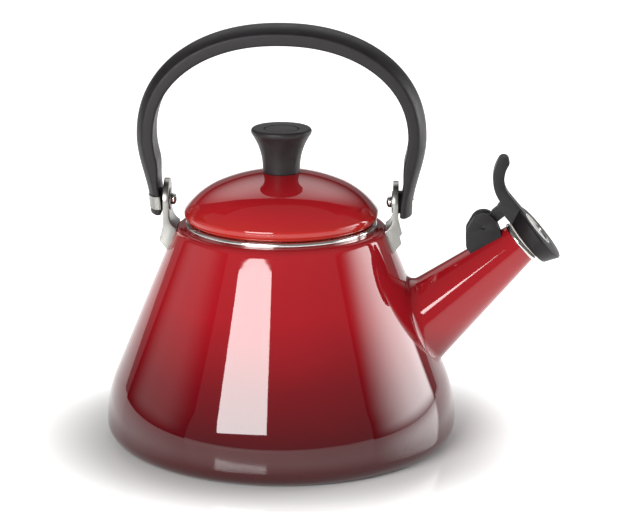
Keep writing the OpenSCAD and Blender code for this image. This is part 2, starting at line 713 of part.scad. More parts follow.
// Whistle: flared cap, block, curved thumb lever and the arm that runs back to the pin
module whistle_cap() {
  rr = cap_rear_r;
  fr = cap_rear_r + cap_flare;
  color(resin) at_tip() difference() {
    union() {
      translate([0, 0, -cap_drop]) about_axis()
        polygon([[cap_a, 0], [cap_a, rr - 0.5], [cap_a + 0.5, rr], [cap_front - 1.3, fr],
                 [cap_front - 0.4, fr - 0.3], [cap_front, fr - 1.2], [cap_front, 0]]);
      translate([0, lever_w / 2, 0]) rotate([90, 0, 0]) linear_extrude(height = lever_w) {
        polygon([[cap_a, 0], [cap_a, pin_u + 3.2], [cap_a + 1.4, lever_cu], [cap_a + 3.3 + lever_t, lever_cu],
                 [cap_a + 3.3 + lever_t, disc_r + 1.6], [cap_front - 1, disc_r + 1], [cap_front - 1, 0]]);
        arc_band(lever_ca, lever_cu, lever_in_r, lever_in_r + lever_t, 108, 180);
        translate([lever_ca + (lever_in_r + lever_t / 2) * cos(108), lever_cu + (lever_in_r + lever_t / 2) * sin(108)])
          circle(r = lever_t / 2, $fn = 48);
      }
      translate([pin_a, -arm_half, pin_u - 3.2]) cube([cap_a - pin_a + 1, 2 * arm_half, 6.4]);
      along_y(pin_a, pin_u, hub_r, -arm_half, arm_half);
    }
    // Room beside the arm for the coiled spring and its front leg
    along_y(pin_a, pin_u, hub_r + 1, 0.6, slot_w);
    translate([pin_a, 0.6, pin_u - 4]) cube([8.4, slot_w, 8]);
    along_y(pin_a, pin_u, pin_r + pin_fit, -slot_w, slot_w);
    about_axis() {
      translate([cap_a - 1, 0]) square([cap_t + 2, chamber_r]);
      translate([cap_front - 1.5, 0]) square([4, disc_r + 0.1]);
      translate([cap_a - 1, 0]) square([2.6, chamber_r + 1.1]);
    }
  }
}

// Steel disc in the face of the cap, with a raised rim and a slot
module whistle_face_disc() {
  color(steel) at_tip() difference() {
    about_axis() {
      translate([cap_front - 1.5, 0]) square([0.8, disc_r]);
      translate([cap_front - 0.7, disc_r - 0.9]) square([0.6, 0.9]);
    }
    translate([cap_front - 3, -0.8, -3.4]) cube([6, 1.6, 6.8]);
  }
}

// Steel disc at the back of the chamber, with a round hole
module whistle_inner_disc() {
  color(steel) at_tip() about_axis()
    translate([cap_a + 0.8, 1.6]) square([0.8, chamber_r + 1 - 1.6]);
}

// Soft ring on the rear face of the cap that meets the spout's bead
module whistle_seal() {
  color(silicone) at_tip() about_axis()
    translate([cap_a - seal_t, chamber_r]) square([seal_t, lip_r - 0.4 - chamber_r]);
}

base_pan();
body_shell();
mouth_trim_ring();
spout_tube();
spout_lip_bead();
lug_left();
lug_right();
pivot_screw_left();
pivot_screw_right();
friction_washer_left();
friction_washer_right();
lug_washer_left();
lug_washer_right();
dome_nut_left();
dome_nut_right();
handle_grip();
handle_clip();
lid_shell();
lid_collar();
lid_knob();
knob_screw();
knob_washer();
whistle_saddle();
saddle_stud();
saddle_nut();
hinge_pin();
whistle_spring();
whistle_cap();
whistle_face_disc();
whistle_inner_disc();
whistle_seal();
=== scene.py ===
# %% [markdown]
# # A stovetop whistling kettle
# The kettle is a pressed steel body with a fired glass enamel, a black moulded handle that swings on two
# steel lugs, a domed lid with a flared knob, and a spout that a small black whistle closes. Its frame comes
# first: the sizes and the moving parts are fixed, and this script adds the surfaces that the eye sees.

# %% The frame and the tools
import math
import bpy, bmesh
import numpy as np
from mathutils import Matrix, Vector


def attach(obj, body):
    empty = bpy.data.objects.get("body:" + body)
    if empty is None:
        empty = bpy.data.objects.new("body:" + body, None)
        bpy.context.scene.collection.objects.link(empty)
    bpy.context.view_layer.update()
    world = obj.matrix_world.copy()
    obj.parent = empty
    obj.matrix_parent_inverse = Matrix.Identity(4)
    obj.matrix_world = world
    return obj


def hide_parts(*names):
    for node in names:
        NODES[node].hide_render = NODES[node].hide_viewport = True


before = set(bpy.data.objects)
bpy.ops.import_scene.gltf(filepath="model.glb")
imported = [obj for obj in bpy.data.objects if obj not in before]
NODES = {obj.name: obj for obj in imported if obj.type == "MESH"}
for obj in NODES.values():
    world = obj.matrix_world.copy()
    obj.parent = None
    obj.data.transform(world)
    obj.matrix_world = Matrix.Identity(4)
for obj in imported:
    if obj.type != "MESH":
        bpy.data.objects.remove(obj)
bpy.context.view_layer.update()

# %% [markdown]
# ## From a table of points to a mesh
# Almost every part of a kettle is a sheet: a line carried round an axis, or a section carried along a path.
# Such a sheet is a table of points with rows and columns, so one helper that joins neighbours into
# four-sided faces makes all of them. Working on whole tables keeps the script short and quick.

# %% Helpers for surfaces
MM = 0.001


def sheet(name, points, close_rows=False, close_columns=True):
    """Joins a table of points (rows, columns, xyz in millimetres) to its neighbours with quads; a closed
    direction joins its last line to its first. Points that coincide, as at a pole, are merged."""
    rows, cols = points.shape[:2]
    i, j = np.meshgrid(np.arange(rows if close_rows else rows - 1),
                       np.arange(cols if close_columns else cols - 1), indexing="ij")
    k, l = (i + 1) % rows, (j + 1) % cols
    quads = np.stack([i * cols + j, i * cols + l, k * cols + l, k * cols + j], -1).reshape(-1, 4)
    return solid(name, points.reshape(-1, 3), quads)


def solid(name, points, faces, bridge=False):
    """Makes an object from points in millimetres and faces, merges doubles and turns every face outwards."""
    mesh = bpy.data.meshes.new(name)
    mesh.from_pydata((np.asarray(points) * MM).tolist(), [], np.asarray(faces).tolist())
    tidy(mesh, bridge=bridge)
    obj = bpy.data.objects.new(name, mesh)
    bpy.context.scene.collection.objects.link(obj)
    return obj


def tidy(mesh, merge=2e-6, bridge=False):
    """Merges points closer than two thousandths of a millimetre, turns faces outwards and, where asked, joins
    the two rims of a hole through a wall."""
    bm = bmesh.new()
    bm.from_mesh(mesh)
    bmesh.ops.remove_doubles(bm, verts=bm.verts, dist=merge)
    bmesh.ops.dissolve_degenerate(bm, edges=bm.edges, dist=1e-7)
    if bridge:
        bmesh.ops.bridge_loops(bm, edges=[e for e in bm.edges if e.is_boundary])
    bmesh.ops.recalc_face_normals(bm, faces=bm.faces)
    if bm.calc_volume(signed=True) < 0:
        bmesh.ops.reverse_faces(bm, faces=bm.faces)
    for f in bm.faces:
        f.smooth = True
    bm.to_mesh(mesh)
    bm.free()


def turned(name, outline, steps=192, closed=False):
    """Surface of revolution about Z: each (radius, height) of the outline goes round in equal steps."""
    a = np.linspace(0, 2 * np.pi, steps, endpoint=False)
    r, z = np.asarray(outline, float).T
    return sheet(name, np.stack([np.outer(r, np.cos(a)), np.outer(r, np.sin(a)),
                                 np.outer(z, np.ones(steps))], -1), close_rows=closed)


def arc(cx, cz, r, a0, a1, steps=12):
    """Points on a circle about (cx, cz) from angle a0 to a1, in degrees."""
    a = np.radians(np.linspace(a0, a1, steps))
    return np.stack([cx + r * np.cos(a), cz + r * np.sin(a)], -1)


def line(p, q, steps=2):
    """Evenly spaced points from p to q."""
    p, q = np.asarray(p, float), np.asarray(q, float)
    return p + np.linspace(0, 1, steps)[:, None] * (q - p)


def rounded(corners, r, steps=5, closed=True):
    """A polygon with its corners rounded: each corner is replaced by a quadratic curve between the points a
    distance r (or less on a short side) before and after it."""
    c = np.asarray(corners, float)
    r = np.broadcast_to(np.asarray(r, float), (len(c),))
    before, after = np.roll(c, 1, 0), np.roll(c, -1, 0)
    lb, la = np.linalg.norm(before - c, axis=1), np.linalg.norm(after - c, axis=1)
    p = c + (before - c) * (np.minimum(r, lb * 0.49) / lb)[:, None]
    q = c + (after - c) * (np.minimum(r, la * 0.49) / la)[:, None]
    t = np.linspace(0, 1, steps)[None, :, None]
    curve = (1 - t) ** 2 * p[:, None] + 2 * t * (1 - t) * c[:, None] + t ** 2 * q[:, None]
    if not closed:
        curve[0], curve[-1] = c[0], c[-1]
    return curve.reshape(-1, 2)


def sharp_edges(obj, degrees=35):
    """Marks the edges where the surface turns by more than an angle, so that smooth shading stops there."""
    bm = bmesh.new()
    bm.from_mesh(obj.data)
    for e in bm.edges:
        e.smooth = len(e.link_faces) == 2 and e.calc_face_angle(0) < math.radians(degrees)
    bm.to_mesh(obj.data)
    bm.free()
    return obj


# %% [markdown]
# ## Nodes for the finishes
# Every finish here is worked out by nodes from the place on the object, so that it needs no picture. One
# function adds a node, sets it and links it. Colours are written as the familiar hex codes, and one
# function turns them into the linear values that the renderer works with.

# %% Helpers for finishes
def hexa(code):
    """An sRGB hex colour as linear red, green, blue and alpha."""
    c = np.array([int(code[k:k + 2], 16) for k in (0, 2, 4)]) / 255
    return (*np.where(c <= 0.04045, c / 12.92, ((c + 0.055) / 1.055) ** 2.4).tolist(), 1.0)


def add(tree, kind, links=None, **settings):
    """Adds a node; settings are its properties, and links maps each input to a value or to another output."""
    n = tree.nodes.new(kind)
    for key, value in settings.items():
        setattr(n, key, value)
    for key, value in (links or {}).items():
        if isinstance(value, bpy.types.NodeSocket):
            tree.links.new(value, n.inputs[key])
        else:
            n.inputs[key].default_value = value
    return n


def finish(name, **sockets):
    """A new material with one Principled shader whose constant sockets are set directly."""
    mat = bpy.data.materials.new(name)
    mat.use_nodes = True
    mat.node_tree.nodes.clear()
    t = mat.node_tree
    shader = add(t, "ShaderNodeBsdfPrincipled", {k.replace("_", " "): v for k, v in sockets.items()})
    add(t, "ShaderNodeOutputMaterial", {"Surface": shader.outputs[0]})
    where = add(t, "ShaderNodeTexCoord").outputs["Object"]
    return mat, t, shader, where


def ramp(tree, factor, stops):
    """A colour ramp with the given (position, hex colour) stops."""
    n = add(tree, "ShaderNodeValToRGB", {"Fac": factor})
    e = n.color_ramp.elements
    for k, (pos, code) in enumerate(stops):
        item = e[k] if k < 2 else e.new(pos)
        item.position, item.color = pos, hexa(code)
    return n.outputs["Color"]


def dress(names, mat):
    """Gives CAD parts a finish in every slot."""
    for n in names:
        mesh = NODES[n].data
        mesh.materials.clear()
        mesh.materials.append(mat)


def place(obj, mat, body, slot, *nodes):
    """Dresses a new piece, makes it move with its body and stand for the CAD parts that it replaces."""
    obj.data.materials.clear()
    obj.data.materials.append(mat)
    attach(obj, body)
    if nodes:
        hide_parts(*nodes)
    print(f"{obj.name}: {len(obj.data.polygons)} faces")
    return obj


# %% [markdown]
# ## The enamel
# Vitreous enamel is glass, ground, sprayed on the steel in several coats and melted at about 800 degrees.
# It is as glossy as a window, with a very slight waviness like orange peel about 7 mm across. The colour is
# sprayed so that it runs from bright red at the shoulder to deep maroon at the foot, and the fine drops of
# the spray, about half a millimetre, leave the change slightly grainy. Its refractive index is that of
# glass, 1.5.

# %% Enamel finishes
def enamel(name, stops, low, high, waviness=0.012, along="Z"):
    """Glass enamel whose colour follows the height, between low and high in metres."""
    mat, t, shader, where = finish(name, Roughness=0.07, IOR=1.52)
    xyz = add(t, "ShaderNodeSeparateXYZ", {0: where})
    level = add(t, "ShaderNodeMapRange", {0: xyz.outputs[along], 1: low, 2: high, 3: 0.0, 4: 1.0}).outputs[0]
    # spray drops of about 0.5 mm, and uneven passes of the gun about 40 mm apart
    drops = add(t, "ShaderNodeTexNoise", {"Vector": where, "Scale": 1900.0, "Detail": 2.0}).outputs[0]
    passes = add(t, "ShaderNodeTexNoise", {"Vector": where, "Scale": 24.0, "Detail": 1.0}).outputs[0]
    grain = add(t, "ShaderNodeMath", {0: drops, 1: 0.5}, operation="SUBTRACT").outputs[0]
    drift = add(t, "ShaderNodeMath", {0: passes, 1: 0.5}, operation="SUBTRACT").outputs[0]
    mixed = add(t, "ShaderNodeMath", {0: grain, 1: 0.05, 2: level}, operation="MULTIPLY_ADD").outputs[0]
    mixed = add(t, "ShaderNodeMath", {0: drift, 1: 0.09, 2: mixed}, operation="MULTIPLY_ADD").outputs[0]
    t.links.new(ramp(t, mixed, stops), shader.inputs["Base Color"])
    gloss = add(t, "ShaderNodeMapRange", {0: passes, 3: 0.02, 4: 0.04}).outputs[0]
    t.links.new(gloss, shader.inputs["Roughness"])
    peel = add(t, "ShaderNodeTexNoise", {"Vector": where, "Scale": 140.0, "Detail": 1.0}).outputs[0]
    bump = add(t, "ShaderNodeBump", {"Strength": waviness, "Distance": 0.0006, "Height": peel})
    t.links.new(bump.outputs[0], shader.inputs["Normal"])
    return mat


FADE = [(0.0, "3c0e10"), (0.18, "430a0f"), (0.42, "660b13"), (0.70, "90121b"), (1.0, "96191f")]
LID_FADE = [(0.0, "a0241b"), (0.35, "a41a20"), (1.0, "a0151e")]
SPOUT_FADE = [(0.0, "620b12"), (0.35, "8e0f18"), (1.0, "96141c")]
BODY_RED = enamel("vitreous_enamel_red_to_maroon", FADE, 0.0, 0.124)
LID_RED = enamel("vitreous_enamel_lid_red", LID_FADE, 0.128, 0.156)
SPOUT_RED = enamel("vitreous_enamel_spout_red", SPOUT_FADE, 0.045, 0.118)

# %% [markdown]
# ## The metals, the black resin and the small parts
# The trim ring, the bead, the pivot screws and their dome nuts are stainless steel, rolled or turned and
# then buffed, so they mirror the room with fine lines. The lugs, their washers and the clip on the handle
# are pressed and tumbled, so they are softer; their steel is a shaded copy of the ring's, painted a good
# deal darker as painted shade, so that they mirror the bright lamps less. The whistle's discs and the
# lid's collar are stainless steel too, a little duller than the ring. The hinge pin, the spring and the
# friction washers are blued spring steel. The knob's screw and washer and the saddle's stud and nut are
# zinc plated, with a grainy blue-grey sheen. The handle, knob and whistle are phenolic resin, moulded
# under heat: nearly black, satin, with a fine stipple from the mould about 0.4 mm across. The seal is
# milky grey silicone. A metal's colour is its reflection, so it has no other refractive index than the
# shader's own.

# %% Steel, zinc, resin and silicone
def steel(name, code, rough, spread, lines, depth=0.02):
    """Stainless steel with a streaky roughness; lines is the pattern's repeats per metre along x, y and z."""
    mat, t, shader, where = finish(name, Metallic=1.0, Base_Color=hexa(code), Roughness=rough)
    stretched = add(t, "ShaderNodeMapping", {"Vector": where, "Scale": lines}).outputs[0]
    streaks = add(t, "ShaderNodeTexNoise", {"Vector": stretched, "Scale": 1.0, "Detail": 3.0}).outputs[0]
    level = add(t, "ShaderNodeMapRange", {0: streaks, 1: 0.3, 2: 0.7, 3: rough - spread, 4: rough + spread})
    t.links.new(level.outputs[0], shader.inputs["Roughness"])
    bump = add(t, "ShaderNodeBump", {"Strength": depth, "Distance": 0.0001, "Height": streaks})
    t.links.new(bump.outputs[0], shader.inputs["Normal"])
    return mat


RING_STEEL = steel("buffed_stainless_ring", "d2d0cd", 0.17, 0.04, (90.0, 90.0, 2600.0), 0.015)
# painted shade: the lugs' stainless steel gets a much darker colour than the ring's, so that it mirrors the
# bright lamps less
SHADED_LUG_STEEL = steel("tumbled_stainless_lug_painted_shade", "8f8e8a", 0.30, 0.03, (500.0, 500.0, 300.0), 0.008)
DISC_STEEL = steel("buffed_stainless_disc", "c4c2be", 0.20, 0.05, (900.0, 900.0, 900.0), 0.04)
COLLAR_STEEL = steel("drawn_stainless_collar", "bdbbb6", 0.28, 0.06, (200.0, 200.0, 2400.0), 0.06)
PIN_STEEL = steel("blued_spring_steel", "3a3a3c", 0.34, 0.06, (3000.0, 700.0, 3000.0), 0.02)
ZINC = steel("zinc_plated_steel", "9aa0a4", 0.38, 0.10, (1500.0, 1500.0, 1500.0), 0.10)


def resin(name, dark, light, rough):
    """Moulded phenolic: a mottled near-black under a satin stipple of about 0.4 mm."""
    mat, t, shader, where = finish(name, Roughness=rough, IOR=1.5, Specular_IOR_Level=0.28)
    cloud = add(t, "ShaderNodeTexNoise", {"Vector": where, "Scale": 160.0, "Detail": 4.0}).outputs[0]
    t.links.new(ramp(t, cloud, [(0.3, dark), (0.7, light)]), shader.inputs["Base Color"])
    stipple = add(t, "ShaderNodeTexNoise", {"Vector": where, "Scale": 2300.0, "Detail": 2.0}).outputs[0]
    level = add(t, "ShaderNodeMapRange", {0: cloud, 1: 0.3, 2: 0.7, 3: rough - 0.05, 4: rough + 0.06})
    t.links.new(level.outputs[0], shader.inputs["Roughness"])
    bump = add(t, "ShaderNodeBump", {"Strength": 0.35, "Distance": 0.0002, "Height": stipple})
    t.links.new(bump.outputs[0], shader.inputs["Normal"])
    return mat


HANDLE_RESIN = resin("moulded_phenolic_handle", "161315", "1c191b", 0.46)
KNOB_RESIN = resin("moulded_phenolic_knob", "1e1a1b", "262223", 0.42)
WHISTLE_RESIN = resin("moulded_phenolic_whistle", "121011", "181617", 0.42)


def silicone(name):
    """Moulded silicone: milky grey, soft sheen, faint talc-like clouding about 3 mm across."""
    mat, t, shader, where = finish(name, Roughness=0.55, IOR=1.41)
    cloud = add(t, "ShaderNodeTexNoise", {"Vector": where, "Scale": 330.0, "Detail": 2.0}).outputs[0]
    t.links.new(ramp(t, cloud, [(0.3, "b7b4ae"), (0.7, "c6c3bd")]), shader.inputs["Base Color"])
    return mat


SEAL = silicone("moulded_silicone_seal")
dress(["friction_washer_left", "friction_washer_right", "hinge_pin", "whistle_spring"], PIN_STEEL)
dress(["knob_screw", "knob_washer", "saddle_stud", "saddle_nut"], ZINC)
dress(["whistle_inner_disc", "whistle_face_disc"], DISC_STEEL)
dress(["whistle_seal"], SEAL)
dress(["lug_washer_left", "lug_washer_right", "handle_clip"], SHADED_LUG_STEEL)

# %% [markdown]
# ## Body and base
# The body is one line turned about the upright axis: flat underside, rounded foot, slightly swollen belly,
# a straight cone, a rounded shoulder and a short neck. The real piece is drawn and pressed from 1.6 mm
# sheet, so the line goes up the outside and down the inside. The cone leans 22.5 degrees. A hole for the
# spout goes through both walls: points that fall inside it are moved out to its edge, and the faces inside
# it are left out.

# %% Sizes of the body, in millimetres
WALL = 1.6
BODY_R, FOOT_R = 100.0, 11.0
LEAN = math.radians(22.531)
BELLY, BELLY_R = (27.0, 11.0), 73.0
SHOULDER, SHOULDER_R, SHOULDER_H = (55.9, 118.8), 5.0, 123.8
NECK_R, NECK_TOP = 53.4, 125.5
SPOUT_TILT, SPOUT_Z, SPOUT_LEN = math.radians(40.5), 70.0, 71.5
AXIS = np.array([math.cos(SPOUT_TILT), 0.0, math.sin(SPOUT_TILT)])
UP = np.array([-math.sin(SPOUT_TILT), 0.0, math.cos(SPOUT_TILT)])
SIDE = np.array([0.0, 1.0, 0.0])
TIP_R, SPREAD, SPOUT_WALL = 11.6, math.tan(math.radians(8.8)), 1.4


def cone_radius(z):
    """Outside radius of the straight cone at height z: it leans in by the tangent of its angle."""
    reach = BELLY[0] * math.cos(LEAN) + BELLY[1] * math.sin(LEAN) + BELLY_R
    return (reach - z * math.sin(LEAN)) / math.cos(LEAN)


TIP = np.array([cone_radius(SPOUT_Z), 0.0, SPOUT_Z]) + SPOUT_LEN * AXIS
print("spout tip:", TIP.round(2))


def spout_frame(p):
    """Distance along the spout from its tip and distance from its axis, for points p."""
    d = p - TIP
    along = d @ AXIS
    return along, np.linalg.norm(d - along[..., None] * AXIS, axis=-1)


def body_line(d):
    """The body's outline inset by d: foot, belly, cone and shoulder."""
    tilt = math.degrees(LEAN)
    out = np.array([math.cos(LEAN), math.sin(LEAN)])
    return [arc(BODY_R - FOOT_R, FOOT_R, FOOT_R - d, -90, 0, 18),
            arc(*BELLY, BELLY_R - d, 0, tilt, 26)[1:],
            line(BELLY + (BELLY_R - d) * out, SHOULDER + (SHOULDER_R - d) * out, 70)[1:-1],
            arc(*SHOULDER, SHOULDER_R - d, tilt, 90, 12)]


outer, inner = body_line(0), body_line(WALL)
bead_in_base = [[61.0, 0.5], [62.0, 0.6], [63.0, 0.5], [64.0, 0.2], [66.0, 0.0]]
neck_outside = [[54.6, SHOULDER_H], [53.9, 124.0], [NECK_R, 124.6], [NECK_R, 125.3], [53.2, NECK_TOP]]
neck_inside = [[52.0, NECK_TOP], [51.8, 125.3], [51.8, 122.8], [52.3, 122.3], [53.0, 122.2]]
outline = np.concatenate([
    line((0, 0.25), (60, 0.25), 8), bead_in_base, line((70, 0), (86, 0), 4),
    *outer, neck_outside, neck_inside, *[c[::-1] for c in inner[::-1]], line((86, WALL), (0, WALL), 10)])
angle = np.linspace(0, 2 * np.pi, 288, endpoint=False)
table = np.stack([np.outer(outline[:, 0], np.cos(angle)), np.outer(outline[:, 0], np.sin(angle)),
                  np.outer(outline[:, 1], np.ones(len(angle)))], -1)

# %% The hole for the spout
def hole_radius(along):
    """The hole lies in the middle of the spout's wall."""
    return TIP_R - along * SPREAD - SPOUT_WALL * 0.5


def to_hole_edge(p, inset):
    """Moves points of the cone's wall away from the hole's centre, in angle and height, until they lie on its
    edge."""
    turn, rise = np.arctan2(p[:, 1], p[:, 0]), p[:, 2] - SPOUT_Z
    scale = np.ones(len(p))
    for _ in range(30):
        z = SPOUT_Z + rise * scale
        r = cone_radius(z) - inset
        q = np.stack([r * np.cos(turn * scale), r * np.sin(turn * scale), z], -1)
        along, away = spout_frame(q)
        scale = scale * (1 + 0.8 * (hole_radius(along) / np.maximum(away, 0.5) - 1))
    return q


along, away = spout_frame(table)
inside = (away < hole_radius(along)) & (table[..., 0] > 40) & (along < -40)
rows, cols = inside.shape
i, j = np.meshgrid(np.arange(rows - 1), np.arange(cols), indexing="ij")
l = (j + 1) % cols
quads = np.stack([i * cols + j, i * cols + l, (i + 1) * cols + l, (i + 1) * cols + j], -1).reshape(-1, 4)
flat_in, points = inside.reshape(-1), table.reshape(-1, 3).copy()
covered = flat_in[quads].sum(1)
rim = np.unique(quads[(covered > 0) & (covered < 4)])
rim = rim[flat_in[rim]]
outside_wall = rim // cols < len(outline) // 2
for wall, inset in ((outside_wall, 0.0), (~outside_wall, WALL / math.cos(LEAN))):
    points[rim[wall]] = to_hole_edge(points[rim[wall]], inset)
print("points moved to the hole's edge:", len(rim))
body = solid("body_enamel", points, quads[covered < 4], bridge=True)
place(body, BODY_RED, "kettle", "enamel_red", "body_shell", "base_pan")

# %% [markdown]
# ## Spout
# The spout is a rolled and welded cone, 8.8 degrees on each side of its axis, which stands on the body at
# 40 degrees. Its weld is ground and then covered by enamel, so the corner is a smooth hollow curve. Along
# each line of the tube a cubic curve leaves it a few millimetres above the body and lands on the body,
# tangent to both.

# %% Spout surface
turn = np.linspace(0, 2 * np.pi, 160, endpoint=False)
ray = np.cos(turn)[:, None] * UP + np.sin(turn)[:, None] * SIDE


def on_tube(along, inset=0.0):
    """Points of the tube at a distance behind the tip, for every direction round the axis."""
    return TIP + along[..., None] * AXIS + (TIP_R - along * SPREAD - inset)[..., None] * ray


def where_meets(depth, inset):
    """Halves an interval along each line of the tube until it meets the cone, at a depth below its
    surface."""
    near, far = np.full(len(turn), -20.0), np.full(len(turn), -110.0)
    for _ in range(50):
        mid = (near + far) / 2
        p = on_tube(mid, inset)
        out = np.hypot(p[:, 0], p[:, 1]) > cone_radius(p[:, 2]) - depth
        near, far = np.where(out, mid, near), np.where(out, far, mid)
    return (near + far) / 2


def on_cone(p, lift=0.0):
    """Points moved sideways on to the cone's surface, with a small lift."""
    r = np.hypot(p[:, 0], p[:, 1])
    wanted = cone_radius(p[:, 2]) + lift
    return np.stack([p[:, 0] * wanted / r, p[:, 1] * wanted / r, p[:, 2]], -1)


def tangent_away(p):
    """Direction along the body's surface, away from the spout's axis."""
    r = np.hypot(p[:, 0], p[:, 1])
    rise = np.full(len(p), math.sin(LEAN))
    normal = np.stack([p[:, 0] / r * math.cos(LEAN), p[:, 1] / r * math.cos(LEAN), rise], -1)
    d = ray - (ray * normal).sum(1, keepdims=True) * normal
    return d / np.linalg.norm(d, axis=1, keepdims=True)


root = where_meets(0.0, 0.0)
reach = 4.2 + 1.6 * np.cos(turn)                    # the hollow is wider on top of the spout than below it
corner = on_tube(root)
start = on_tube(root + reach)
landing = on_cone(corner + tangent_away(corner) * reach[:, None], -0.03)
pull = 0.58 * reach[:, None]
t = np.linspace(0, 1, 16)[:, None, None]
tube_dir = on_tube(root + 1.0) - on_tube(root)
tube_dir = tube_dir / np.linalg.norm(tube_dir, axis=1, keepdims=True)
c1, c2 = start - tube_dir * pull, landing - tangent_away(landing) * pull
hollow = (1 - t) ** 3 * start + 3 * (1 - t) ** 2 * t * c1 + 3 * (1 - t) * t ** 2 * c2 + t ** 3 * landing
s = np.linspace(0, 1, 50)[:, None]
tube = on_tube(-0.2 + s * (root + reach + 0.2))
inner_root = where_meets(WALL / math.cos(LEAN) + 0.15, SPOUT_WALL)
bore = on_tube(-0.2 + s[::-1] * (inner_root + 0.2), SPOUT_WALL)
spout = sheet("spout_enamel", np.concatenate([tube, hollow[1:], bore]), close_rows=True)
place(spout, SPOUT_RED, "kettle", "enamel_red", "spout_tube")

# %% [markdown]
# ## Rings of polished steel
# A rolled ring covers the raw edge of the neck, where enamel would chip, and a small bead does the same on
# the spout. Both are closed outlines turned about their axes. The bead is made about Z and then laid on the
# spout's axis by moving its points, so that its object stays at the origin.

# %% Trim ring and spout bead
MID, CREST_Z, CREST_R = 52.6, 125.0, 1.6
inner_end = [[51.0, 121.35], [51.15, 121.3], [51.5, 121.3], [51.6, 121.45]]
over_neck = [[51.6, 125.4], [51.8, 125.6], [53.4, 125.6], [53.6, 125.4]]
outer_end = [[53.6, 123.95], [53.75, 123.8], [54.1, 123.8], [54.2, 123.95]]
trim = np.concatenate([arc(MID, CREST_Z, CREST_R, 0, 180, 24), inner_end, over_neck, outer_end])
ring = turned("mouth_ring_steel", trim, 288, closed=True)
place(ring, RING_STEEL, "kettle", "polished_steel", "mouth_trim_ring")


def laid_on_spout(obj):
    """Turns an object's points from the Z axis to the spout's axis, with its zero at the spout's tip."""
    turn_to = Matrix(np.stack([-UP, SIDE, AXIS], -1).tolist()).to_4x4()
    obj.data.transform(Matrix.Translation(TIP * MM) @ turn_to)
    tidy(obj.data)
    return obj


into_mouth = [[11.2, 0.8], [10.4, 0.8], [9.9, 0.6], [9.8, 0.2], [9.8, -0.4]]
round_tip = [[10.2, -0.45], [10.2, 0.0], [11.55, 0.05], [11.75, -0.5]]
bead = np.concatenate([arc(TIP_R, -0.5, 1.1, -75, 100, 20), into_mouth, round_tip])
bead = laid_on_spout(turned("spout_bead_steel", bead, 128, closed=True))
place(bead, RING_STEEL, "kettle", "polished_steel", "spout_lip_bead")

# %% [markdown]
# ## Lid, collar and knob
# The lid is pressed in one piece: a shallow dome of 92 mm radius, a steeper flank, a small edge radius and
# a rolled lip that tucks inwards. The arcs touch each other tangentially, so the reflections run over them
# without a break. The knob is turned about the same axis: a narrow neck that flares along a hollow curve to
# a round rim, with a dished top and a fine groove.

# %% Lid and knob outlines
LID_Z, DOME_Z, DOME_R, LID_WALL = 131.655, 63.055, 92.0, 1.4
EDGE_R, ROLL_R = 3.0, 5.4
FLANK, FLANK_R, FLANK_A, DOME_A = (19.014, 106.798), 44.303, 37.0, 66.507


def lid_line(d):
    """The lid's outline inset by d, from the hole under the knob to the end of the roll."""
    top = math.degrees(math.acos(2.7 / (DOME_R - d)))
    return np.concatenate([arc(0, DOME_Z, DOME_R - d, top, DOME_A, 34),
                           arc(*FLANK, FLANK_R - d, DOME_A, FLANK_A, 26)[1:],
                           arc(52, LID_Z, EDGE_R - d, FLANK_A, 0, 9)[1:],
                           arc(49.6, LID_Z, ROLL_R - d, 0, -90, 18)[1:]])


lid_outer, lid_inner = lid_line(0), lid_line(LID_WALL)
lid = turned("lid_enamel", np.concatenate([lid_outer, lid_inner[::-1]]), 256, closed=True)
place(lid, LID_RED, "lid", "enamel_red", "lid_shell")
collar = [(49.6, 117.3), (49.6, 129.2), (48.4, 129.2), (48.4, 118.1), (46.8, 118.1), (46.8, 117.3)]
collar = turned("lid_collar_steel", rounded(collar, 0.3, 4), 192, closed=True)
place(collar, COLLAR_STEEL, "lid", "pressed_steel", "lid_collar")
KNOB_TOP, RIM_C, FLARE_Z, FLARE_R = 180.055, 178.155, 156.855, 35.0
flare_end = 180 - math.degrees(math.asin((RIM_C - 1.2 - FLARE_Z) / FLARE_R))
flare = arc(45.5, FLARE_Z, FLARE_R, 180, flare_end, 30)
knob_foot = [[0, 154.2], [9.6, 153.9], [10.2, 154.3], [10.5, 154.9]]
knob_groove = [[10.3, 179.50], [9.95, 179.45], [9.8, 179.2], [9.7, 178.75],
               [9.4, 178.75], [9.3, 179.2], [9.15, 179.4], [8.8, 179.42]]
knob_line = np.concatenate([
    knob_foot, line((10.5, 155.2), (10.5, 156.6), 3), flare, arc(15.2, RIM_C, 1.9, -28, 84, 14),
    [[14.6, KNOB_TOP - 0.02], [13.4, KNOB_TOP - 0.12]], knob_groove,
    [[6.0, 179.16], [3.0, 179.0], [0, 178.96]]])
place(turned("lid_knob_resin", knob_line, 160), KNOB_RESIN, "lid", "knob_phenolic", "lid_knob")

# %% [markdown]
# ## Handle
# The bail handle is one moulding: a section with a flat inner face, straight edges and a crowned outer
# face, carried along a line that bows out from each pivot and closes in a rounded arch, a superellipse of
# power 2.15. It grows from 6.8 mm thick at the ends to 11 mm over the hand. A boss stands on its inner face
# round each pivot.

# %% Handle surface
PIVOT_Z, HANDLE_OUT, BOW, BOW_Z, RISE = 138.0, 74.0, 7.5, 37.5, 101.0
TAIL = 7.2                                                  # the handle runs on this far past its pivots
HALF_W, CROWN = 12.0, 4.2
THIN, SIDE_T, TOP_T = 6.8, 10.2, 11.0                       # thickness at the ends, the sides and the crown
POWER = 2 / 2.15                                            # of the sine and cosine in the superellipse


def smooth_step(t):
    """Rises from 0 to 1 with level ends: three squares less two cubes."""
    t = np.clip(t, 0, 1)
    return t * t * (3 - 2 * t)


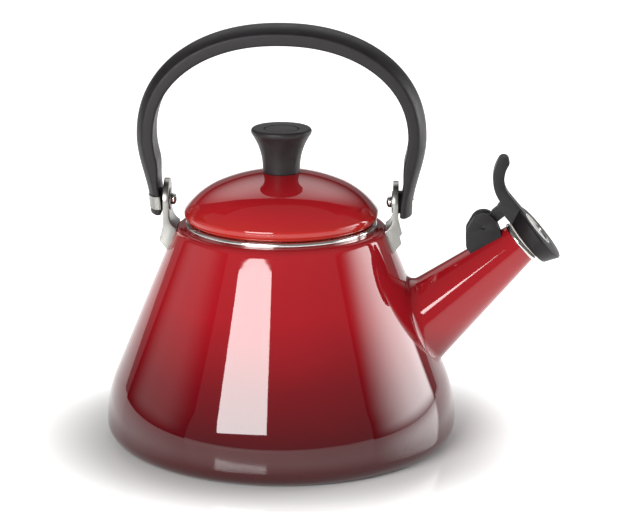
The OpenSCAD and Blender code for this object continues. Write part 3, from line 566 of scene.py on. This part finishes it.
leg_t = np.concatenate([[0, 0.006, 0.014, 0.024, 0.036], np.linspace(0.05, 1, 46)[:-1]])
leg_x = HANDLE_OUT + BOW * (1 - np.cos(np.pi * np.clip((leg_t - 0.0447) / 0.9553, 0, 1))) / 2
leg = np.stack([leg_x, PIVOT_Z - TAIL + (TAIL + BOW_Z) * leg_t], -1)
sweep_a = np.radians(np.linspace(0, 180, 181))
arch = np.stack([(HANDLE_OUT + BOW) * np.sign(np.cos(sweep_a)) * np.abs(np.cos(sweep_a)) ** POWER,
                 PIVOT_Z + BOW_Z + (RISE - BOW_Z) * np.abs(np.sin(sweep_a)) ** POWER], -1)
path = np.concatenate([leg, arch, leg[::-1] * (-1, 1)])
ahead = np.gradient(path, axis=0)
ahead[0], ahead[-1] = (0, 1), (0, -1)
ahead /= np.linalg.norm(ahead, axis=1, keepdims=True)
outward = np.stack([ahead[:, 1], -ahead[:, 0]], -1)
height = path[:, 1] - PIVOT_Z
thick = np.where(height < BOW_Z, THIN + (SIDE_T - THIN) * smooth_step((height - 5) / (BOW_Z * 0.45)),
                 SIDE_T + (TOP_T - SIDE_T) * smooth_step((height - BOW_Z) / (RISE - BOW_Z)))


def crowned(y):
    """Depth of the outer face below its highest line: 4.2 mm times the width fraction to the power 2.3."""
    return CROWN * (np.abs(y) / HALF_W) ** 2.3


def corner_curve(p, c, q, steps=7):
    """Quadratic curve from p to q with its control point at c."""
    t = np.linspace(0, 1, steps)[:, None]
    return (1 - t) ** 2 * np.asarray(p) + 2 * t * (1 - t) * np.asarray(c) + t ** 2 * np.asarray(q)


half = np.concatenate([np.stack([np.linspace(0, 10.6, 14), crowned(np.linspace(0, 10.6, 14))], -1),
                       corner_curve((10.8, crowned(10.8)), (HALF_W, 4.15), (HALF_W, 5.3)),
                       corner_curve((HALF_W, 5.5), (HALF_W, THIN), (10.7, THIN)), [[8, THIN], [4, THIN]]])
section = np.concatenate([half, [[0, THIN]], half[:0:-1] * (-1, 1)])
on_inner = smooth_step((section[:, 1] - 5.35) / 0.2)        # points that move with the inner face as it grows
END = 1.1                                                   # radius of the rounded ends
from_end = np.minimum(height + TAIL, END)
inset = END - np.sqrt(np.maximum(END ** 2 - (END - from_end) ** 2, 0))
y = section[:, 0] * (1 - inset[:, None] / HALF_W)
depth = section[:, 1] + on_inner * (thick[:, None] - THIN)
middle = thick[:, None] / 2
depth = middle + (depth - middle) * (1 - inset[:, None] / middle)
grip = np.stack([path[:, :1] - outward[:, :1] * depth, y, path[:, 1:] - outward[:, 1:] * depth], -1)
cap = grip[[0, -1]].mean(1, keepdims=True).repeat(grip.shape[1], 1)
grip = sheet("handle_grip_resin", np.concatenate([cap[:1], grip, cap[1:]]))


def across(name, outline, side, steps=96, closed=False):
    """Surface turned about the pivot axis: each (radius, distance from the middle) goes round a line
    along X."""
    a = np.linspace(0, 2 * np.pi, steps, endpoint=False)
    r, x = np.asarray(outline, float).T
    return sheet(name, np.stack([np.outer(side * x, np.ones(steps)), np.outer(r, np.cos(a)),
                                 PIVOT_Z + np.outer(r, np.sin(a))], -1), close_rows=closed)


def joined(target, *others):
    """Adds the faces of other objects to the first one and removes them."""
    bm = bmesh.new()
    for obj in (target, *others):
        bm.from_mesh(obj.data)
    bm.to_mesh(target.data)
    bm.free()
    for obj in others:
        bpy.data.objects.remove(obj)
    return target


boss = rounded([(2.66, 69.0), (6.5, 69.0), (6.5, 64.88), (2.66, 64.88)], 0.4, 4)
joined(grip, *[across("boss", boss, side, closed=True) for side in (1, -1)])
place(grip, HANDLE_RESIN, "handle", "black_phenolic", "handle_grip")

# %% [markdown]
# ## Pivots and lugs
# Each end of the handle turns on a shouldered screw with a low domed head outside and a domed nut inside.
# The lug that carries it is pressed from 1.2 mm stainless sheet: a web, two side flanges that reach down
# over the shoulder, and a rim round the head. It is made from its fixed shape, with every edge rounded as a
# press and a tumbling barrel leave it.

# %% Pivot hardware and lugs
def softened(node, name, width, segments=2):
    """A copy of a CAD part whose loose triangles are merged, whose flat areas become single faces and whose
    edges over 30 degrees are bevelled, by up to a width in millimetres where short edges leave room."""
    mesh = NODES[node].data.copy()
    bm = bmesh.new()
    bm.from_mesh(mesh)
    bmesh.ops.remove_doubles(bm, verts=bm.verts, dist=4e-6)
    bmesh.ops.dissolve_degenerate(bm, edges=bm.edges, dist=1e-6)
    bmesh.ops.dissolve_limit(bm, angle_limit=math.radians(0.6), verts=bm.verts, edges=bm.edges)
    edges = [e for e in bm.edges if len(e.link_faces) == 2 and e.calc_face_angle(0) > math.radians(30)]
    bmesh.ops.bevel(bm, geom=edges, offset=width * MM, offset_type="OFFSET", segments=segments, profile=0.5,
                    affect="EDGES", clamp_overlap=True)
    # where short edges meet, the bevel leaves points that lie almost on each other
    bmesh.ops.remove_doubles(bm, verts=bm.verts, dist=4e-6)
    bmesh.ops.dissolve_degenerate(bm, edges=bm.edges, dist=1e-6)
    bmesh.ops.recalc_face_normals(bm, faces=bm.faces)
    for f in bm.faces:
        f.smooth = True
    bm.to_mesh(mesh)
    bm.free()
    obj = bpy.data.objects.new(name, mesh)
    bpy.context.scene.collection.objects.link(obj)
    return sharp_edges(obj, 38)


HEAD_TOP, HEAD_R = 75.2, 5.374                              # the domed head is part of a sphere
NUT_R, NUT_DOME, NUT_RISE = 3.15, 60.9, 1.6                 # the nut's end is half an ellipse
thread = [[0, 59.6], [1.5, 59.6], [1.7, 59.8], [1.7, 64.3]]
shoulder = [[2.5, 64.3], [2.6, 64.4], [2.6, 73.3], [3.3, 73.3]]
screw = np.concatenate([thread, shoulder, arc(0, HEAD_TOP - HEAD_R, HEAD_R, 49.7, 90, 14)])
round_end = np.radians(np.linspace(5, 90, 9))
dome = np.stack([NUT_R * np.cos(round_end), NUT_DOME - NUT_RISE * np.sin(round_end)], -1)
nut = np.concatenate([[[0, 62.4], [2.9, 62.4], [NUT_R, 62.2], [NUT_R, NUT_DOME]], dome])
for side, end in ((1, "right"), (-1, "left")):
    turned_screw = across("pivot_screw_steel_" + end, screw, side, 64)
    place(turned_screw, RING_STEEL, "kettle", "polished_steel", "pivot_screw_" + end)
    domed = across("dome_nut_steel_" + end, nut, side, 48)
    place(domed, RING_STEEL, "kettle", "polished_steel", "dome_nut_" + end)
    lug = softened("lug_" + end, "lug_steel_" + end, 0.28)
    place(lug, SHADED_LUG_STEEL, "kettle", "pressed_steel", "lug_" + end)

# %% [markdown]
# ## Whistle
# The whistle is a second moulding: a flared cap with a block and a curved thumb lever, and an arm that runs
# back to its pin. The saddle under it is a third. Both have the small round edges of a resin mould.

# %% Whistle mouldings
saddle = softened("whistle_saddle", "whistle_saddle_resin", 0.45, 3)
place(saddle, WHISTLE_RESIN, "kettle", "black_phenolic", "whistle_saddle")
whistle = softened("whistle_cap", "whistle_cap_resin", 0.4, 3)
place(whistle, WHISTLE_RESIN, "whistle", "black_phenolic", "whistle_cap")

# %% [markdown]
# ## Camera, floor and light
# The camera stands 1.4 m away, twice as high as the handle, and looks down by 15 degrees with a long
# lens. The floor is a pale glossy sheet with painted light: it glows softly beyond the kettle's shadow,
# from nothing at the foot to nearly white a little way out, standing in for a lit table. A rectangular
# softbox to the left of the camera, tilted until its image stands upright on the leaning cone, draws the
# clean bright window. A panel to the right, sharp on one side and fading on the other, gives the broad
# blurred sheen. A large dim panel above and behind lights the lid, and a faint one on the left lifts the
# edge.

# %% Camera
YAW = math.radians(3.5)


def around(x, y, z):
    """A place given as seen from the camera (right, away, up in metres), turned with the camera's azimuth."""
    return Vector((x * math.cos(YAW) - y * math.sin(YAW), x * math.sin(YAW) + y * math.cos(YAW), z))


camera = bpy.data.objects.new("camera", bpy.data.cameras.new("camera"))
bpy.context.scene.collection.objects.link(camera)
SENSOR, LENS = 36.0, 143.2125                               # millimetres
LOOK_AT = Vector((0, 0, 0.110))
ASIDE, ABOVE = -0.015161, 0.0030636                         # where LOOK_AT stands in the view, as tangents
camera.data.sensor_width, camera.data.lens = SENSOR, LENS
camera.data.clip_end = 50
camera.location = around(0, -1.4, 0.474)
look = (LOOK_AT - camera.location).to_track_quat("-Z", "Y")
shown_at = Vector((ASIDE, ABOVE, -1)).normalized()
camera.rotation_euler = (look @ shown_at.rotation_difference(Vector((0, 0, -1)))).to_euler()
bpy.context.scene.camera = camera

# %% Floor
wide = np.linspace(-40000, 40000, 3)                        # wide enough to meet the horizon
across_floor, along_floor = np.meshgrid(wide, wide)
floor = sheet("floor", np.stack([across_floor, along_floor, np.zeros((3, 3))], -1), close_columns=False)
floor.location.z = -0.0002
mat, t, shader, where = finish("pale_glossy_floor_painted_glow", Roughness=0.12, IOR=1.6, Base_Color=hexa("f2f1f0"))
# painted light: the floor glows by its own emission, none under the kettle, rising to 0.88 over the next 75
# mm
far = add(t, "ShaderNodeVectorMath", {0: where}, operation="LENGTH").outputs["Value"]
glow = add(t, "ShaderNodeMapRange", {0: far, 1: 0.095, 2: 0.17, 3: 0.0, 4: 0.88},
           interpolation_type="SMOOTHSTEP").outputs[0]
shader.inputs["Emission Color"].default_value = hexa("ffffff")
t.links.new(glow, shader.inputs["Emission Strength"])
floor.data.materials.append(mat)


# %% Lights
def softbox(name, at, aim, width, height, radiance, roll=0.0):
    """A rectangular area light at a place, turned to a point; its power gives the wanted radiance."""
    data = bpy.data.lights.new(name, "AREA")
    data.shape, data.size, data.size_y = "RECTANGLE", width, height
    data.energy = radiance * math.pi * width * height
    obj = bpy.data.objects.new(name, data)
    bpy.context.scene.collection.objects.link(obj)
    obj.location = at
    level = (aim - at).to_track_quat("-Z", "Y").to_matrix()
    obj.rotation_euler = (level @ Matrix.Rotation(math.radians(roll), 3, "Z")).to_euler()
    return obj


def panel(name, at, aim, width, height, radiance, left=0.4, right=0.4, ends=0.3):
    """A glowing panel that falls smoothly to nothing towards its edges; left, right and ends are the parts of
    its width and height over which it falls. Like an area light it is seen in reflections only, so it never
    stands in the way of a view."""
    x, y = np.meshgrid(np.array([-500.0, 500.0]) * width, np.array([-500.0, 500.0]) * height)
    obj = sheet(name, np.stack([x, y, 0 * x], -1), close_columns=False)
    mat = bpy.data.materials.new(name)
    mat.use_nodes = True
    t = mat.node_tree
    t.nodes.clear()
    xyz = add(t, "ShaderNodeSeparateXYZ", {0: add(t, "ShaderNodeTexCoord").outputs["Object"]})
    power = radiance
    edges = (("X", -width, left), ("X", width, right), ("Y", -height, ends), ("Y", height, ends))
    for axis, size, part in edges:
        full = size / 2 * (1 - 2 * part)
        fall = add(t, "ShaderNodeMapRange", {0: xyz.outputs[axis], 1: size / 2, 2: full, 3: 0.0, 4: 1.0},
                   interpolation_type="SMOOTHSTEP").outputs[0]
        power = add(t, "ShaderNodeMath", {0: fall, 1: power}, operation="MULTIPLY").outputs[0]
    glow = add(t, "ShaderNodeEmission", {"Strength": power})
    add(t, "ShaderNodeOutputMaterial", {"Surface": glow.outputs[0]})
    obj.data.materials.append(mat)
    obj.location = at
    obj.rotation_euler = (aim - at).to_track_quat("Z", "Y").to_euler()
    obj.visible_camera = False
    return obj


aim = Vector((0, 0, 0.09))
softbox("window_left", around(-0.539, -1.095, 0.5086), around(-0.027, -0.077, 0.2886), 0.728, 0.474, 14.5,
        roll=5.6)
panel("overhead", around(0.0, 1.25, 1.35), aim, 3.2, 2.0, 1.8, left=0.4, right=0.4, ends=0.5)
panel("sheen_right", around(1.22, 0.02, 0.34), Vector((0, 0, 0.34)), 1.5, 0.8, 7.4,
      left=0.08, right=0.64, ends=0.3)
panel("veil_left", around(-1.6, 0.1, 0.5), aim, 2.0, 1.1, 0.7)

world = bpy.data.worlds.new("studio")
bpy.context.scene.world = world
world.use_nodes = True
world.node_tree.nodes["Background"].inputs[0].default_value = (1, 1, 1, 1)
world.node_tree.nodes["Background"].inputs[1].default_value = 0.25
bpy.context.scene.view_settings.view_transform = "Standard"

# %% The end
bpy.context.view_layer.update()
